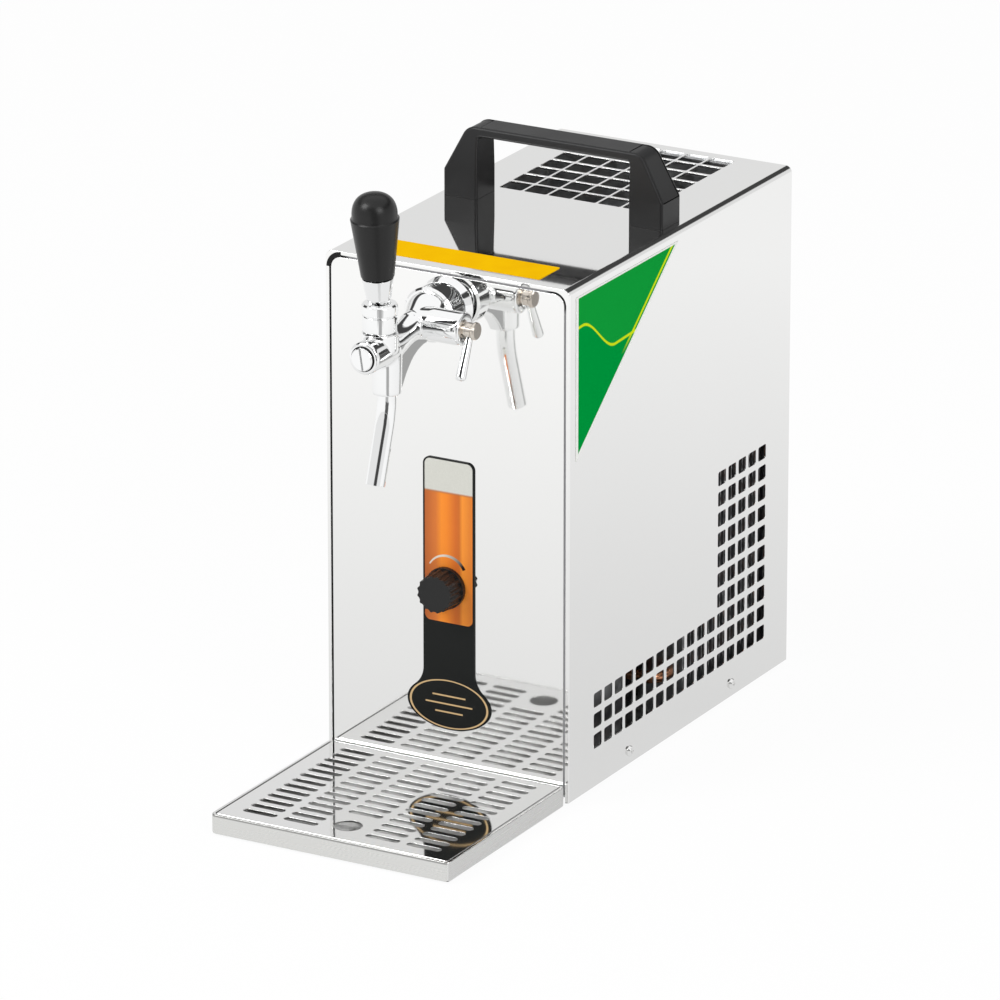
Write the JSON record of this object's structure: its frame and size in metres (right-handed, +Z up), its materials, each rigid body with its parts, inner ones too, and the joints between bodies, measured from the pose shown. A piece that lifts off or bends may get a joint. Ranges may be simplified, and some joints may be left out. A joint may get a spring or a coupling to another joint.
{
  "type": "mini keg beer dispenser",
  "caption": "Desktop dry beer cooler in polished sheet steel with a chrome tap, side flow lever, drip tray with slotted grate, carrying handle and rear line ports.",
  "frame": {"origin": "under the middle of the whole unit's box, on the table, drip tray and rear fittings included", "axes": "+Z up, the tap and drip tray towards -Y, +X to the right of someone who faces the tap"},
  "size_m": [0.1788, 0.469, 0.4191],
  "materials": {
    "polished_steel": "bright polished stainless sheet, near mirror on top and front",
    "tray_steel": "polished stainless, lightly used",
    "galvanised_steel": "plain zinc coated",
    "tap_chrome": "bright chrome plating",
    "hub_steel": "turned stainless",
    "black_plastic": "fine moulded grain",
    "black_gloss": "smooth moulding",
    "black_rubber": "matt",
    "badge_print": "printed plate with amber window on black",
    "green_print": "printed film",
    "yellow_print": "printed film",
    "cast_aluminium": "as cast",
    "fin_aluminium": "bare sheet",
    "copper_tube": "drawn copper",
    "steel_tube": "drawn stainless",
    "white_foam": "foam",
    "compressor_paint": "black enamel",
    "fan_plastic": "moulded",
    "motor_metal": "dark enamel",
    "fitting_plastic": "grey acetal",
    "collet_plastic": "dark acetal",
    "hose_plastic": "milky tube",
    "pump_plastic": "blue moulding",
    "rocker_green": "smooth",
    "rocker_black": "smooth"
  },
  "bodies": {
    "cooler": {"casing_cover": "polished_steel", "front_panel": "polished_steel", "rear_panel": "galvanised_steel", "base_plate": "galvanised_steel", "base_feet": "black_rubber", "casing_screws": "polished_steel", "front_seal": "black_rubber", "handle_body": "black_plastic", "handle_caps": "black_plastic", "handle_screws": "galvanised_steel", "badge_plate": "badge_print", "side_label": "green_print", "top_label": "yellow_print", "thermostat_body": "fan_plastic", "tap_shank": "tap_chrome", "shank_flange": "tap_chrome", "shank_nut": "tap_chrome", "tap_coupling_nut": "tap_chrome", "tap_body": "tap_chrome", "spout_tube": "tap_chrome", "valve_cap": "tap_chrome", "lever_bonnet": "tap_chrome", "cooling_block": "cast_aluminium", "beer_coil": "steel_tube", "evaporator_coil": "copper_tube", "insulation_jacket": "white_foam", "block_stand": "galvanised_steel", "compressor_shell": "compressor_paint", "compressor_grommets": "black_rubber", "condenser_fins": "fin_aluminium", "condenser_tube": "copper_tube", "fan_frame": "fan_plastic", "fan_motor": "motor_metal", "discharge_pipe": "copper_tube", "liquid_line": "copper_tube", "suction_pipe": "copper_tube", "beer_inlet_fitting": "fitting_plastic", "air_outlet_fitting": "fitting_plastic", "beer_supply_line": "hose_plastic", "beer_outlet_line": "steel_tube", "air_pump": "pump_plastic", "air_hose": "hose_plastic", "power_inlet": "black_gloss", "switch_housings": "black_gloss"},
    "tap_lever": {"lever_stem": "tap_chrome", "tap_knob": "black_gloss"},
    "valve_plunger": {"valve_plunger": "steel_tube", "plunger_seals": "black_rubber"},
    "flow_lever": {"compensator_spindle": "hub_steel", "compensator_arm": "tap_chrome"},
    "flow_cone": {"compensator_cone": "fitting_plastic"},
    "temperature_knob": {"thermostat_knob": "black_gloss", "thermostat_shaft": "galvanised_steel"},
    "drip_tray": {"drip_tray": "tray_steel"},
    "drip_grate": {"drip_grate": "tray_steel"},
    "fan": {"fan_blade": "fan_plastic"},
    "cooling_rocker": {"cooling_rocker": "rocker_green"},
    "air_rocker": {"air_rocker": "rocker_black"},
    "beer_collet": {"beer_inlet_collet": "collet_plastic"},
    "air_collet": {"air_outlet_collet": "collet_plastic"}
  },
  "joints": [
    {"name": "tap_lever_tilt", "type": "hinge", "parent": "cooler", "child": "tap_lever", "pos_m": [0, -0.1675, 0.338], "axis": [1, 0, 0], "range_deg": [-18.8, 17.2]},
    {"name": "valve_plunger_slide", "type": "slide", "parent": "cooler", "child": "valve_plunger", "axis": [0, 1, 0], "range_m": [-0.0073, 0.0067]},
    {"name": "flow_lever_turn", "type": "hinge", "parent": "cooler", "child": "flow_lever", "pos_m": [0, -0.1205, 0.321], "axis": [1, 0, 0], "range_deg": [-60, 60]},
    {"name": "flow_cone_slide", "type": "slide", "parent": "cooler", "child": "flow_cone", "axis": [0, 1, 0], "range_m": [-0.0019, 0.0019]},
    {"name": "temperature_knob_turn", "type": "hinge", "parent": "cooler", "child": "temperature_knob", "pos_m": [0, -0.0885, 0.1333], "axis": [0, 1, 0], "range_deg": [0, 270]},
    {"name": "drip_tray_slide", "type": "slide", "parent": "cooler", "child": "drip_tray", "axis": [0, -1, 0], "range_m": [0, 0.035]},
    {"name": "drip_grate_lift", "type": "slide", "parent": "drip_tray", "child": "drip_grate", "axis": [0, 0, 1], "range_m": [0, 0.03]},
    {"name": "fan_spin", "type": "hinge", "parent": "cooler", "child": "fan", "pos_m": [0.045, 0.1365, 0.09], "axis": [1, 0, 0], "continuous": true},
    {"name": "cooling_rocker_tilt", "type": "hinge", "parent": "cooler", "child": "cooling_rocker", "pos_m": [0.062, 0.2165, 0.286], "axis": [1, 0, 0], "range_deg": [0, 16]},
    {"name": "air_rocker_tilt", "type": "hinge", "parent": "cooler", "child": "air_rocker", "pos_m": [0.036, 0.2165, 0.286], "axis": [1, 0, 0], "range_deg": [0, 16]},
    {"name": "beer_collet_press", "type": "slide", "parent": "cooler", "child": "beer_collet", "axis": [0, -1, 0], "range_m": [0, 0.0015]},
    {"name": "air_collet_press", "type": "slide", "parent": "cooler", "child": "air_collet", "axis": [0, -1, 0], "range_m": [0, 0.0015]}
  ],
  "couplings": [
    {"joint": "valve_plunger_slide", "follows": "tap_lever_tilt", "m_per_rad": 0.0222},
    {"joint": "flow_cone_slide", "follows": "flow_lever_turn", "m_per_rad": 0.0018}
  ]
}
